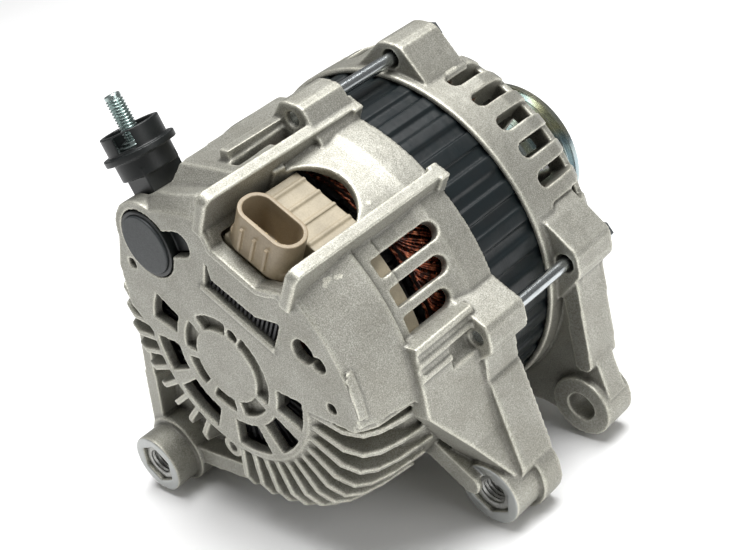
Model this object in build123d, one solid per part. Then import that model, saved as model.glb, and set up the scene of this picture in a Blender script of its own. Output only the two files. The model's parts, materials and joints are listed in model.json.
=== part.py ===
from build123d import *
import math
import os

# A car alternator, rebuilt as an assembly of separate pieces. All lengths are in millimetres.
# While modelling, the shaft is the Y axis and y = 0 is the outer face of the rear plate; +Z is up with
# the two pairs of mounting lugs level at the bottom. On export everything is shifted along Y so that
# the origin is the point where the belt's centre plane crosses the shaft axis.
BELT_PLANE = 143.0

# ---- stack along the shaft ----
REAR_BEARING_START = 4.5
REAR_BEARING_WIDTH = 11.0
FLANGE_REAR = 51.5
FLANGE_FRONT = 62.5
CORE_REAR = 61.0
CORE_FRONT = 89.0
FRONT_RIM = 87.1
FRONT_SHOULDER = 107.0
FRONT_FACE = 121.0
FRONT_BEARING_START = 107.0
FRONT_BEARING_WIDTH = 14.0
PULLEY_REAR = 128.5
PULLEY_FRONT = 155.0

# ---- radii ----
BRACKET_RADIUS = 64.0
CORE_OUTER_RADIUS = 62.0
CORE_SEAT_RADIUS = 62.02
CORE_INNER_RADIUS = 49.0
ROTOR_RADIUS = 48.55
SHAFT_RADIUS = 8.5
REAR_SEAT_RADIUS = 7.5
REAR_BEARING_RADIUS = 17.5
FRONT_BEARING_RADIUS = 23.5
PULLEY_RADIUS = 28.0
WALL = 3.8
RUNNING_GAP = 0.05

# ---- through bolts ----
BOLT_CIRCLE = 68.1
BOLT_ANGLES = (0, 80, 180, 260)
BOLT_RADIUS = 2.2
BOLT_REAR_END = 45.5
BOLT_HEAD_SEAT = 109.5
BOLT_RECESS = 1.2
BOLT_ENTRY_RADIUS = 3.4
BOLT_ENTRY_END = 95.0

# ---- mounting lugs ----
LUG_X = 62.5
LUG_Z = -59.0
LUG_RADIUS = 11.5
LUG_FLANGE_RADIUS = 13.5
LEFT_LUG_FACE = -2.8
LEFT_LUG_FLANGE = 7.5
RIGHT_LUG_FACE = 39.3
FRONT_LUG_REAR = 91.0
FRONT_LUG_FRONT = 105.0
FRONT_LUG_HOLE_RADIUS = 5.3
NUT_FLATS = 14.0
NUT_THREAD_RADIUS = 4.25
NUT_LENGTH = 10.0
NUT_BORE_RADIUS = 5.8
NUT_RECESS = 1.6

# ---- regulator, connector and rectifier ----
REGULATOR_ANGLE = 57.5
REGULATOR_TOP = 57.5
REGULATOR_HALF_WIDTH = 13.0
CONNECTOR_Y = 9.1
CONNECTOR_TOP = 65.0
BRUSH_PITCH = 8.0
BRUSH_FIRST_Y = 21.0
SLIP_RING_RADIUS = 10.0

# ---- output terminal ----
TERMINAL_X = -20.3
TERMINAL_Z = 41.5
TERMINAL_Y = 14.0
TERMINAL_ANGLE = 106.8
TERMINAL_CAP_RADIUS = 10.3
TERMINAL_BODY_RADIUS = 11.7
STUD_RADIUS = 3.0

# ---- rear bracket: outlines are (x, z), and slots, windows and pockets are given by angle ----
REAR_PLATE = [(-43, 14), (-41, 30), (-36, 40), (-31, 52), (-13, 58.5), (6, 60), (17, 66), (44, 52),
              (55, 36), (61, 12), (61, -10), (34, -7), (20, -15), (-20, -15), (-34, 3)]
TOP_BLOCK = [(0, 44), (0, 51), (16, 63.4), (60, 65.6), (60, 44)]
VENT_WINDOWS = ((139, 160), (173, 197), (208, 240), (258, 286), (297, 320), (330, 352))
HUB_POCKETS = ((70, 115), (-35, 47), (-86, -43), (-130, -98), (-178, -145), (130, 170))
HUB_POCKET_DEPTH = 3.1
RIB_INNER = 16.0
RIB_OUTER = 20.2
RIB_TOP = 65.8
WALL_CORNER = 3.2
SIDE_SLOTS = ((31.0, 52.0), (21.7, 49.0), (13.0, 45.0))
SIDE_SLOT_REAR = 25.8
SIDE_SLOT_WIDTH = 6.2
TOP_SLOT_ANGLE = 81.5
SCREW_POINTS = ((47.5, -2.5), (-18, -40.5), (-33, 32))

# ---- front bracket ----
FRONT_VENT_ANGLES = [angle for angle in range(13, 353, 10) if abs(angle - 83) > 4 and abs(angle - 178) > 6]
FRONT_HUB_RADIUS = 37.0
RETAINER_ANGLES = (45, 135, 225, 315)
RETAINER_CIRCLE = 29.0

# ---- stator ----
WINDING_INNER = 50.4
WINDING_OUTER = 58.0
WINDING_REAR = 40.0
WINDING_FRONT = 102.0
SLOT_COUNT = 36
RIDGE_COUNT = 40
LEAD_ANGLES = (172, 192, 212, 288, 308, 328)
LEAD_CIRCLE = 50.4

# ---- rotor and pulley ----
CLAW_REAR = 48.5
CLAW_FRONT = 99.5
CLAW_COUNT = 8
FAN_BLADES = 11
BELT_RIB_PITCH = 3.56

# ---- rectifier ----
SINK_REAR = 11.0
SINK_FRONT = 13.0
BOARD_REAR = 15.8
BOARD_FRONT = 19.2
FRONT_SINK_REAR = 20.6
FRONT_SINK_FRONT = 22.6
RECTIFIER_START = 150
RECTIFIER_END = 352
RECTIFIER_SCREW_ANGLES = (173, 249, 326)
RECTIFIER_SCREW_CIRCLE = 38.5
REAR_DIODE_ANGLES = (182, 214, 270, 302)
FRONT_DIODE_ANGLES = (198, 230, 286, 342)
DIODE_RADIUS = 4.6

# ---- regulator fins and brushes ----
HEAT_SINK_SHOW = [(28.5, 13.0), (28.5, -15.8), (38.4, -15.8), (33.0, -7.4), (32.3, 11.6), (37.0, 13.9)]
SINK_FIN_COUNT = 18
SINK_FIN_START = -16.2
SINK_FIN_PITCH = 1.72
BRUSH_END = 23.0
BRUSH_HALF_X = 2.3
BRUSH_HALF_Y = 2.8

PARTS = {}


# ---- drawing helpers ----
def polar(radius, angle):
    """Point in the plane across the shaft: angle from +X towards +Z, in degrees."""
    return radius * math.cos(math.radians(angle)), radius * math.sin(math.radians(angle))


def turned(shape, angle):
    """Turn a shape about the shaft from +X towards +Z."""
    return Rot(0, -angle, 0) * shape


def rod(radius, y0, y1, x=0.0, z=0.0):
    """Solid cylinder along the shaft direction."""
    return Pos(x, (y0 + y1) / 2, z) * Rot(-90, 0, 0) * Cylinder(radius, y1 - y0)


def ring(outer, inner, y0, y1, x=0.0, z=0.0):
    """Plain tube along the shaft direction."""
    return rod(outer, y0, y1, x, z) - rod(inner, y0 - 1, y1 + 1, x, z)


def prism(points, y0, y1):
    """Outline drawn across the shaft as (x, z) points, extruded from y0 to y1."""
    return slab(Polygon(*points, align=None), y0, y1)


def slab(sketch, y0, y1):
    """Sketch drawn across the shaft, extruded from y0 to y1."""
    return Pos(0, y0, 0) * extrude(Plane.XZ * sketch, amount=y1 - y0, dir=(0, 1, 0))


def lathe(points, arc=360.0, start=0.0):
    """Outline of (radius, y) points turned about the shaft, from angle start through arc degrees."""
    profile = Plane.XY * Polygon(*points, align=None)
    return turned(revolve(profile, axis=Axis.Y, revolution_arc=arc), start + arc if arc < 360 else 0)


def spoke(inner, outer, angle, width, y0, y1):
    """Radial bar between two radii."""
    bar = Pos((inner + outer) / 2, (y0 + y1) / 2, 0) * Box(outer - inner, y1 - y0, width)
    return turned(bar, angle)


def sector(outer, inner, start, end, y0, y1):
    """Part of a flat ring between two angles."""
    return lathe([(inner, y0), (outer, y0), (outer, y1), (inner, y1)], end - start, start)


def regulator_block(t0, t1, r0, r1, y0, y1):
    """Box beside the regulator's radial line: t across it, r along it."""
    box = Pos((r0 + r1) / 2, (y0 + y1) / 2, (t0 + t1) / 2) * Box(r1 - r0, y1 - y0, t1 - t0)
    return turned(box, REGULATOR_ANGLE)


def hexagon_rod(flats, y0, y1, x, z, turn=0.0):
    """Hexagonal bar along the shaft direction."""
    outline = Pos(x, z) * Rot(0, 0, turn) * RegularPolygon(flats / math.sqrt(3), 6)
    return slab(outline, y0, y1)


def strip(start, end, radius):
    """Flat outline of width 2 x radius with round ends, joining two (x, z) points."""
    dx = end[0] - start[0]
    dz = end[1] - start[1]
    middle = Pos((start[0] + end[0]) / 2, (start[1] + end[1]) / 2)
    turn = Rot(0, 0, math.degrees(math.atan2(dz, dx)))
    return middle * turn * SlotCenterToCenter(math.hypot(dx, dz), 2 * radius)


def pieces(shape):
    """Single solids of a result, so that a group of fasteners stays separate."""
    return list(shape.solids())


def union(shapes):
    total = shapes[0]
    for shape in shapes[1:]:
        total = total + shape
    return total


def keep(name, shape):
    PARTS[name] = shape


# ---- rear bracket ----
def rear_shell():
    """Tapered drum from the hub plate out to the flange that clamps the stator."""
    return lathe([(0, 0), (36, 0), (39, 3), (50, 10), (58, 20), (61.5, 32), (63, FLANGE_REAR - 4),
                  (BRACKET_RADIUS, FLANGE_REAR), (BRACKET_RADIUS, FLANGE_FRONT),
                  (CORE_SEAT_RADIUS, FLANGE_FRONT), (CORE_SEAT_RADIUS, CORE_REAR), (0, CORE_REAR)])


def rear_cavity():
    """Room inside the drum for the winding, fan, rectifier and regulator."""
    end = CORE_REAR + 2
    outer = lathe([(0, WALL), (34, WALL), (47, 13), (54, 22), (58, 34), (60, 46), (60, end), (0, end)])
    outline = [(-36, 14), (-33, 35), (14, 50), (46, 38), (54, 22), (56, -5), (20, -10), (-20, -10)]
    behind_plate = prism(outline, WALL, 26)
    regulator_room = regulator_block(-13.6, 13.6, 24, 58.6, WALL, 50)
    side_room = sector(59.2, 40, 4, 37, 12, 50)
    return outer + (behind_plate & rod(57, WALL, 26)) + regulator_room + side_room


def rear_fin(angle, inner):
    """Cooling fin that wraps from the hub plate over the shoulder."""
    outline = [(inner, 6), (inner + 2, 0.4), (50, 0.4), (56, 3), (59, 8), (61, 16), (62.6, 30), (55, 30)]
    fin = extrude(Plane.XY * Polygon(*outline, align=None), amount=1.1, both=True)
    return turned(fin, angle)


def rear_left_fin(angle):
    """Short rib on the side away from the regulator."""
    outline = [(34, 6), (35, 0.4), (46, 0.4), (52.5, 3), (57.5, 12), (61.5, 26), (50, 26)]
    fin = extrude(Plane.XY * Polygon(*outline, align=None), amount=1.1, both=True)
    return turned(fin, angle)


def rear_side_panel():
    """Thick inclined panel on the regulator's right side."""
    return lathe([(40, 0), (58.2, 0), (64.3, 20), (64.3, 21.3), (62.2, 22), (62.2, 50), (40, 50)], 50, -7)


def top_block():
    """Shoulder between the output terminal and the connector opening, sloping up to the flange."""
    outline = Plane.YZ * Polygon(*TOP_BLOCK, align=None)
    block = (Pos(-12, 0, 0) * extrude(outline, amount=30, dir=(1, 0, 0))) & rod(66.4, -5, 61)
    ridge = spoke(58, 67.4, TOP_SLOT_ANGLE + 4.4, 4.4, 21, 44.8)
    return block + ridge


def opening_wall(near, far):
    """Wall beside the connector opening, with its outer rear corner rounded off."""
    start = -2.4
    base = 50
    wall = Box(RIB_TOP - base, CORE_REAR - start, far - near)
    corner = wall.edges().filter_by(Axis.Z).sort_by(Axis.X)[-2:].sort_by(Axis.Y)[0]
    middle = Pos((RIB_TOP + base) / 2, (CORE_REAR + start) / 2, (near + far) / 2)
    return turned(middle * fillet(corner, WALL_CORNER), REGULATOR_ANGLE)


def rear_ribs():
    """The two walls that stand beside the connector opening and run on to the flange."""
    bars = []
    tabs = []
    for near, far in ((RIB_INNER, RIB_OUTER), (-RIB_OUTER, -RIB_INNER)):
        bars.append(opening_wall(near, far))
        tabs.append(regulator_block(near - 1.2, far + 1.2, 55, RIB_TOP, CORE_REAR - 0.5, FLANGE_FRONT + 2))
    return union(bars) - rod(60, 34, 80) + (union(tabs) - rod(CORE_OUTER_RADIUS + 0.05, 50, 80))


def rim_swelling(half_outline, y0, y1):
    """Thickening of the rim round one bolt, drawn on +X as half an outline of (radius, across) points."""
    outline = half_outline + [(r, -t) for r, t in reversed(half_outline)]
    return prism(outline, y0, y1)


def rear_bolt_bosses():
    """Swellings of the flange that hold the threaded ends of the through bolts."""
    half = [(58, 14), (63.5, 11), (BOLT_CIRCLE + 4.8, 5), (BOLT_CIRCLE + 5.6, 2.6)]
    boss = rim_swelling(half, BOLT_REAR_END - BOLT_RECESS, FLANGE_FRONT)
    return union([turned(boss, angle) for angle in BOLT_ANGLES]) - rod(60, 40, CORE_REAR)


def rear_left_lug():
    """Arm and boss of the rear left mount: a recessed web between two rims that run up the drum's side."""
    lug = (-LUG_X, LUG_Z)
    boss = rod(LUG_RADIUS, LEFT_LUG_FACE, 20, *lug)
    flange = rod(LUG_FLANGE_RADIUS, LEFT_LUG_FLANGE, 22, *lug)
    outline = [(-74, -52), (-65, -26), (-58, -4), (-47, -4), (-20, -20), (-8, -56), (-30, -60), (-46, -65),
               (-56, -71)]
    web = prism(outline, 16, 24)
    outer_rim = strip((-56, -3), (-63, -26), 2.6) + strip((-63, -26), (-70, -52), 3.2)
    lower_rim = strip(lug, (-19, -57), 3.6)
    keel = slab(strip(lug, (-38, -40), 4), 24, 46)
    return boss + flange + web + slab(outer_rim, 8, 24) + slab(lower_rim, 8.5, 24) + keel


def arm_section(z, x0, x1, y0, y1):
    """Rectangle across an arm that runs down along Z."""
    return Pos((x0 + x1) / 2, (y0 + y1) / 2, z) * Rectangle(x1 - x0, y1 - y0)


def rear_right_lug():
    """Arm and boss of the rear right mount: a tapered arm that leans forward onto the stator flange."""
    lug = (LUG_X, LUG_Z)
    boss = rod(LUG_RADIUS, RIGHT_LUG_FACE, 56, *lug)
    flange = rod(LUG_FLANGE_RADIUS, FLANGE_REAR, CORE_REAR, *lug)
    outline = [(66, -3), (66, -18), (70, -38), (75, -55), (52, -68), (20, -62), (20, -40), (50, -10)]
    web = prism(outline, FLANGE_REAR, CORE_REAR)
    rim = strip((67, -4), (65, -20), 2.5) + strip((65, -20), (70, -50), 4)
    shoulder = loft([arm_section(11, 54, 67.6, 20, 46.5), arm_section(-14, 54, 67, 19, 47)])
    upper = loft([arm_section(-14, 54, 67, 19, 47), arm_section(-34, 50, 68, 33, 54)])
    lower = loft([arm_section(-34, 50, 68, 33, 54), arm_section(-54, 54, 72.5, 45, 58)])
    steps = [Pos(67.6, 33, z) * Box(1.2, 26, 1.6) for z in (9.8, 5.0, 0.2)]
    keel = slab(strip((40, -40), (58, -54), 4), 36, 56)
    arm = shoulder + upper + lower + union(steps) + keel
    return boss + flange + web + slab(rim, FLANGE_REAR - 6, CORE_REAR) + arm


def terminal_seat():
    """Round wall that holds the output terminal's black body."""
    return rod(TERMINAL_BODY_RADIUS + 3.3, 0, 26, TERMINAL_X, TERMINAL_Z)


def terminal_pocket():
    clear = TERMINAL_BODY_RADIUS + 0.4
    hole = rod(clear, -5, 22.3, TERMINAL_X, TERMINAL_Z)
    channel = terminal_place(Pos(20, 0, -1.1) * Box(40, 15.6, 13.6))
    skirt = terminal_place(bar_x(10.4, 18, 40))
    side = slab(strip((TERMINAL_X, TERMINAL_Z), (-2.5, 44.5), 4.4), -5, 14.4)
    return hole + channel + skirt + side


def connector_opening():
    """Cut between the two walls, with a rounded front end under the roof panel."""
    outline = [(-RIB_INNER, 55), (-6, 48.2), (12, 48.2), (RIB_INNER, 53), (RIB_INNER, 80), (-RIB_INNER, 80)]
    opening = turned(prism([(r, t) for t, r in outline], -5, 26), REGULATOR_ANGLE)
    rounded = turned(Pos(65, 24.5, 0) * Rot(0, 90, 0) * Cylinder(15.2, 30), REGULATOR_ANGLE)
    return opening + rounded


def raised_lips():
    """Thin raised edges: round the connector opening and along the fold between plate and side panel."""
    opening_edge = [(-17.5, 54.5), (-6.8, 46.9), (12.6, 46.9), (17.5, 52.4)]
    rim = [strip((r0, t0), (r1, t1), 1.2) for (t0, r0), (t1, r1) in zip(opening_edge, opening_edge[1:])]
    fold = [(44.6, 51.6), (53.6, 37), (58.6, 20), (60.2, -4)]
    edge = [strip(start, end, 0.8) for start, end in zip(fold, fold[1:])]
    fold_lip = slab(union(edge), -0.9, 3) & rod(59.6, -5, 5)
    return turned(slab(union(rim), -2.0, 3), REGULATOR_ANGLE) + fold_lip


def hub_recess():
    """Arc-shaped pockets that ring the closed bearing hub, and one small round hole."""
    cuts = [sector(18.8, 13.8, start, end, -1, HUB_POCKET_DEPTH) for start, end in HUB_POCKETS]
    cuts.append(rod(2.2, -1, HUB_POCKET_DEPTH, *polar(16, 58)))
    return union(cuts)


def vent_windows():
    return union([sector(33.5, 22.8, start, end, -1, WALL + 1) for start, end in VENT_WINDOWS])


def heat_sink_slot():
    """Long slot across the regulator's line, through which its black fins show."""
    outline = [(28, 13.7), (28, -16.4), (39.3, -16.4), (33.5, -7.1), (32.8, 12), (39.5, 15.2)]
    cut = turned(prism(outline, -1, WALL + 1), REGULATOR_ANGLE)
    lip = regulator_block(-17, 15, 25.8, 28, -0.7, 1)
    return cut, lip


def side_slots():
    cuts = []
    for angle, far in SIDE_SLOTS:
        half = SIDE_SLOT_WIDTH / 2
        cuts.append(spoke(56, 80, angle, SIDE_SLOT_WIDTH, SIDE_SLOT_REAR, far - half))
        cuts.append(turned(Pos(68, far - half, 0) * Rot(0, 90, 0) * Cylinder(half, 24), angle))
    cuts.append(spoke(52, 80, TOP_SLOT_ANGLE, 4.0, 20, 44))
    return union(cuts)


def small_holes():
    """Keyhole, screw holes and locating holes in the rear plate."""
    holes = [rod(4.2, -1, WALL + 1, 42, 16.5), rod(2.8, -1, WALL + 1, 47.5, 13.2)]
    holes += [rod(1.9, -1, WALL + 1, x, z) for x, z in SCREW_POINTS]
    return union(holes)


def rear_bracket():
    body = rear_shell()
    body = body + (prism(REAR_PLATE, 0, 30) & lathe([(0, 0), (56, 0), (60, 6), (63, 30), (0, 30)]))
    body = body + rear_side_panel()
    body = body + top_block()
    body = body + terminal_seat()
    body = body + union([rear_fin(angle, 34) for angle in range(-13, -105, -9)])
    body = body + union([rear_left_fin(angle) for angle in range(160, 235, 9)])
    body = body - rear_cavity()
    body = body + rear_ribs()
    body = body + rear_bolt_bosses()
    body = body + (rear_left_lug() - rod(57, 3, 34) - rod(60, 34, 80) - rod(20, -5, 5))
    body = body + (rear_right_lug() - rod(61, 3, 80))
    bearing_end = REAR_BEARING_START + REAR_BEARING_WIDTH
    body = body + ring(REAR_BEARING_RADIUS + 4, REAR_BEARING_RADIUS, WALL - 0.5, bearing_end)
    slot, lip = heat_sink_slot()
    screw_bosses = [rod(4.2, WALL - 0.5, 7.8, x, z) for x, z in SCREW_POINTS[1:]]
    body = body + lip + raised_lips() + union(screw_bosses)
    body = body - slot - connector_opening() - terminal_pocket() - hub_recess() - vent_windows()
    body = body - side_slots() - small_holes()
    for angle in BOLT_ANGLES:
        x, z = polar(BOLT_CIRCLE, angle)
        body = body - rod(BOLT_RADIUS, BOLT_REAR_END, 70, x, z)
        body = body - rod(BOLT_RADIUS + 0.5, BOLT_REAR_END - 2, BOLT_REAR_END, x, z)
        body = body - rod(4.4, BOLT_REAR_END - 12, BOLT_REAR_END - BOLT_RECESS, x, z)
    for side, face in ((-1, LEFT_LUG_FACE), (1, RIGHT_LUG_FACE)):
        x = side * LUG_X
        body = body - hexagon_rod(NUT_FLATS + 0.02, face - 1, face + NUT_RECESS + NUT_LENGTH, x, LUG_Z, 20)
        body = body - rod(NUT_BORE_RADIUS, face - 1, 70, x, LUG_Z)
    body = body - rod(CORE_SEAT_RADIUS, CORE_REAR, 90)
    keep("rear_bracket", rectifier_posts(body))


# ---- front bracket ----
def front_shell():
    outside = [(CORE_SEAT_RADIUS, FRONT_RIM), (BRACKET_RADIUS, FRONT_RIM), (BRACKET_RADIUS, FRONT_SHOULDER),
               (62.8, 113.5), (60, 117.5), (56.5, 120), (52, FRONT_FACE), (31, FRONT_FACE)]
    hub = [(29, FRONT_FACE + 2.5), (14, FRONT_FACE + 2.5), (14, FRONT_FACE),
           (FRONT_BEARING_RADIUS, FRONT_FACE), (FRONT_BEARING_RADIUS, FRONT_BEARING_START),
           (28.5, FRONT_BEARING_START)]
    inside = [(30, 116.5), (50, 116.5), (52, 114), (52, 104.5), (54, 103.2), (59.8, 103.2),
              (59.8, CORE_FRONT), (CORE_SEAT_RADIUS, CORE_FRONT)]
    return lathe(outside + hub + inside)


def front_lug(side):
    """Arm and clearance hole of one front mount, with the arm's outer rib running up to the bolt boss."""
    lug = (side * LUG_X, LUG_Z)
    boss = rod(LUG_RADIUS, FRONT_LUG_REAR, FRONT_LUG_FRONT, *lug)
    outline = [(side * 73, 2), (side * 68.5, -29), (side * 73.5, -55), (side * 60, -69), (side * 44, -64),
               (side * 18, -61), (side * 30, -40), (side * 52, 0)]
    web = prism(outline, 94, 103)
    rib_line = strip((side * BOLT_CIRCLE, 0), (side * 67, -40), 3.4)
    rib = slab(rib_line, FRONT_LUG_REAR, FRONT_LUG_FRONT + 1)
    keel = slab(strip((side * 36, -42), (side * 56, -57), 3.5), 96, 112)
    return boss + web + rib + keel


def front_vents():
    """Deep radial windows whose outer edge is open between the ribs, and slots in the front face."""
    cuts = []
    for angle in FRONT_VENT_ANGLES:
        cuts.append(spoke(46, 80, angle, 5.8, 100, 116.6))
        cuts.append(spoke(57.6, 80, angle, 5.8, 104, 130))
        round_end = Pos(66, 100, 0) * Rot(0, 90, 0) * Cylinder(2.9, 28)
        cuts.append(turned(round_end, angle))
        cuts.append(spoke(FRONT_HUB_RADIUS, 50, angle, 4.2, 115, 130))
    return union(cuts)


def front_bolt_boss(angle):
    """Swelling of the rim round one bolt: wide at the drum, narrow at the bolt."""
    top = BOLT_CIRCLE + 5.6
    half = [(60, 17), (64, 13.5), (top - 0.8, 5), (top, 2.6)]
    boss = rim_swelling(half, 90.5, BOLT_HEAD_SEAT) & ring(90, 60, 80, 120)
    return turned(boss, angle)


def front_bracket():
    body = front_shell() - front_vents()
    for angle in BOLT_ANGLES:
        body = body + front_bolt_boss(angle)
    lugs = union([front_lug(side) for side in (-1, 1)])
    body = body + (lugs - rod(60.5, 80, 130))
    for angle in RETAINER_ANGLES:
        x, z = polar(RETAINER_CIRCLE, angle)
        body = body + rod(4.4, FRONT_BEARING_START, 118, x, z) - rod(2.0, 100, 116, x, z)
    body = body - rod(FRONT_BEARING_RADIUS, 100, FRONT_FACE) - rod(14, 100, 130)
    body = body - rod(CORE_SEAT_RADIUS, 80, CORE_FRONT) - rod(59.8, 80, 103)
    for angle in BOLT_ANGLES:
        x, z = polar(BOLT_CIRCLE, angle)
        body = body - rod(BOLT_RADIUS + 0.3, 80, 130, x, z)
        body = body - rod(BOLT_ENTRY_RADIUS, 80, BOLT_ENTRY_END, x, z)
    for side in (-1, 1):
        body = body - rod(FRONT_LUG_HOLE_RADIUS, 80, 130, side * LUG_X, LUG_Z)
    keep("front_bracket", body)


def bearing_retainer():
    plate = ring(33.5, 18.5, FRONT_BEARING_START - 2, FRONT_BEARING_START)
    screws = []
    for angle in RETAINER_ANGLES:
        x, z = polar(RETAINER_CIRCLE, angle)
        plate = plate - rod(2.0, 100, 110, x, z)
        head = rod(3.6, FRONT_BEARING_START - 4.4, FRONT_BEARING_START - 2, x, z)
        groove = Pos(x, z) * Rectangle(5, 0.9)
        head = head - slab(groove, FRONT_BEARING_START - 5, FRONT_BEARING_START - 3.4)
        screws.append(head + rod(2.0, FRONT_BEARING_START - 3, 115.5, x, z))
    keep("bearing_retainer_plate", plate)
    keep("retainer_screws", screws)


def through_bolts():
    bolts = []
    for angle in BOLT_ANGLES:
        x, z = polar(BOLT_CIRCLE, angle)
        shank = rod(BOLT_RADIUS, BOLT_REAR_END, BOLT_HEAD_SEAT, x, z)
        head = hexagon_rod(7.0, BOLT_HEAD_SEAT + 0.8, BOLT_HEAD_SEAT + 3.4, x, z)
        washer = rod(4.2, BOLT_HEAD_SEAT, BOLT_HEAD_SEAT + 0.8, x, z)
        bolts.append(shank + washer + head)
    keep("through_bolts", bolts)


def rear_lug_nuts():
    nuts = []
    for side, face in ((-1, LEFT_LUG_FACE), (1, RIGHT_LUG_FACE)):
        start = face + NUT_RECESS
        nut = hexagon_rod(NUT_FLATS, start, start + NUT_LENGTH, side * LUG_X, LUG_Z, 20)
        nut = nut - rod(NUT_THREAD_RADIUS, start - 1, start + NUT_LENGTH + 1, side * LUG_X, LUG_Z)
        nuts.append(nut)
    keep("rear_lug_nuts", nuts)


# ---- stator ----
def stator_core():
    core = ring(CORE_OUTER_RADIUS, CORE_INNER_RADIUS, CORE_REAR, CORE_FRONT)
    cuts = []
    for index in range(SLOT_COUNT):
        angle = index * 360 / SLOT_COUNT
        cuts.append(spoke(50.4, 58.6, angle, 3.2, CORE_REAR - 1, CORE_FRONT + 1))
        cuts.append(spoke(48, 51, angle, 1.6, CORE_REAR - 1, CORE_FRONT + 1))
    for index in range(RIDGE_COUNT):
        angle = (index + 0.5) * 360 / RIDGE_COUNT
        cuts.append(spoke(61.1, 63, angle, 4.6, CORE_REAR - 1, CORE_FRONT + 1))
    keep("stator_core", core - union(cuts))


def end_turns(inner, outer, y0, y1):
    """Bundle of end windings with rounded corners."""
    r = 1.6
    return lathe([(inner + r, y0), (outer - r, y0), (outer, y0 + r), (outer, y1 - r), (outer - r, y1),
                  (inner + r, y1), (inner, y1 - r), (inner, y0 + r)])


def stator_winding():
    rear = end_turns(WINDING_INNER, WINDING_OUTER, WINDING_REAR, CORE_REAR - 0.8)
    front = end_turns(WINDING_INNER, WINDING_OUTER, CORE_FRONT + 0.8, WINDING_FRONT)
    bars = [spoke(51.4, 57.6, index * 360 / SLOT_COUNT, 2.6, 55, 95) for index in range(SLOT_COUNT)]
    leads = stator_lead_rods()
    keep("stator_winding", rear + front + union(bars) - union(leads))
    keep("stator_leads", leads)


def stator_lead_rods():
    return [rod(0.9, BOARD_FRONT, 50, *polar(LEAD_CIRCLE, angle)) for angle in LEAD_ANGLES]


# ---- rotor ----
def shaft():
    body = rod(REAR_SEAT_RADIUS, 5.0, 36)
    body = body + rod(SHAFT_RADIUS, 36, 144)
    body = body + rod(8.0, 144, 154)
    body = chamfer(body.faces().sort_by(Axis.Y)[-1].edges(), 1.0)
    keep("shaft", body - hexagon_rod(6, 147, 156, 0, 0))


def claw():
    """Pole claw drawn with its disc at the rear, fingers pointing forward."""
    disc = lathe([(SHAFT_RADIUS, CLAW_REAR), (40, CLAW_REAR), (42, 50.5), (42, 58), (24, 61), (24, 74),
                  (SHAFT_RADIUS, 74)])
    taper = lathe([(30, CLAW_REAR), (46.5, CLAW_REAR), (ROTOR_RADIUS, 51), (ROTOR_RADIUS, 94), (45.5, 96),
                   (44.2, 96), (40, 62), (30, 59)])
    finger_outline = [(-9.4, CLAW_REAR), (9.4, CLAW_REAR), (8.6, 60), (4.2, 96), (-4.2, 96), (-8.6, 60)]
    across = Plane(origin=(28, 0, 0), x_dir=(0, 0, 1), z_dir=(-1, 0, 0))
    finger = extrude(across * Polygon(*finger_outline, align=None), amount=24, dir=(1, 0, 0)) & taper
    fingers = [turned(finger, index * 360 / CLAW_COUNT) for index in range(CLAW_COUNT)]
    return disc + union(fingers)


def rotor_core():
    rear = claw()
    keep("pole_claw_rear", rear)
    middle = (CLAW_REAR + CLAW_FRONT) / 2
    front = mirror(rear, Plane.XZ.offset(-middle))
    keep("pole_claw_front", turned(front, 180 / CLAW_COUNT))
    bobbin = ring(26, 24, 61.5, 86.5) + ring(38, 24, 61.5, 63) + ring(38, 24, 85, 86.5)
    keep("coil_bobbin", bobbin)
    keep("field_coil", ring(37.4, 26, 63, 85))


def fan(plate_rear, plate_front, blade_rear, blade_front, lean):
    plate = ring(41, SHAFT_RADIUS, plate_rear, plate_front)
    middle = Pos(39.5, (blade_rear + blade_front) / 2, 0)
    blade = middle * Rot(0, lean, 0) * Box(12, blade_front - blade_rear, 1.4)
    blades = []
    for index in range(FAN_BLADES):
        blades.append(turned(blade, index * 360 / FAN_BLADES))
    return plate + union(blades)


def fans():
    keep("fan_rear", fan(CLAW_REAR - 1.4, CLAW_REAR, CLAW_REAR - 9.5, CLAW_REAR - 1.2, 35))
    keep("fan_front", fan(CLAW_FRONT, CLAW_FRONT + 1.4, CLAW_FRONT + 1.2, CLAW_FRONT + 9.5, -35))


def slip_rings():
    insulator = ring(8.8, REAR_SEAT_RADIUS, 17, 35)
    for start, end in ((17, 18), (24, 26), (32, 33)):
        insulator = insulator + ring(10.4, REAR_SEAT_RADIUS, start, end)
    rings = []
    for index in range(2):
        middle = BRUSH_FIRST_Y + index * BRUSH_PITCH
        rings.append(ring(SLIP_RING_RADIUS, 8.8, middle - 3, middle + 3))
    keep("slip_ring_insulator", insulator)
    keep("slip_rings", rings)


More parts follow.
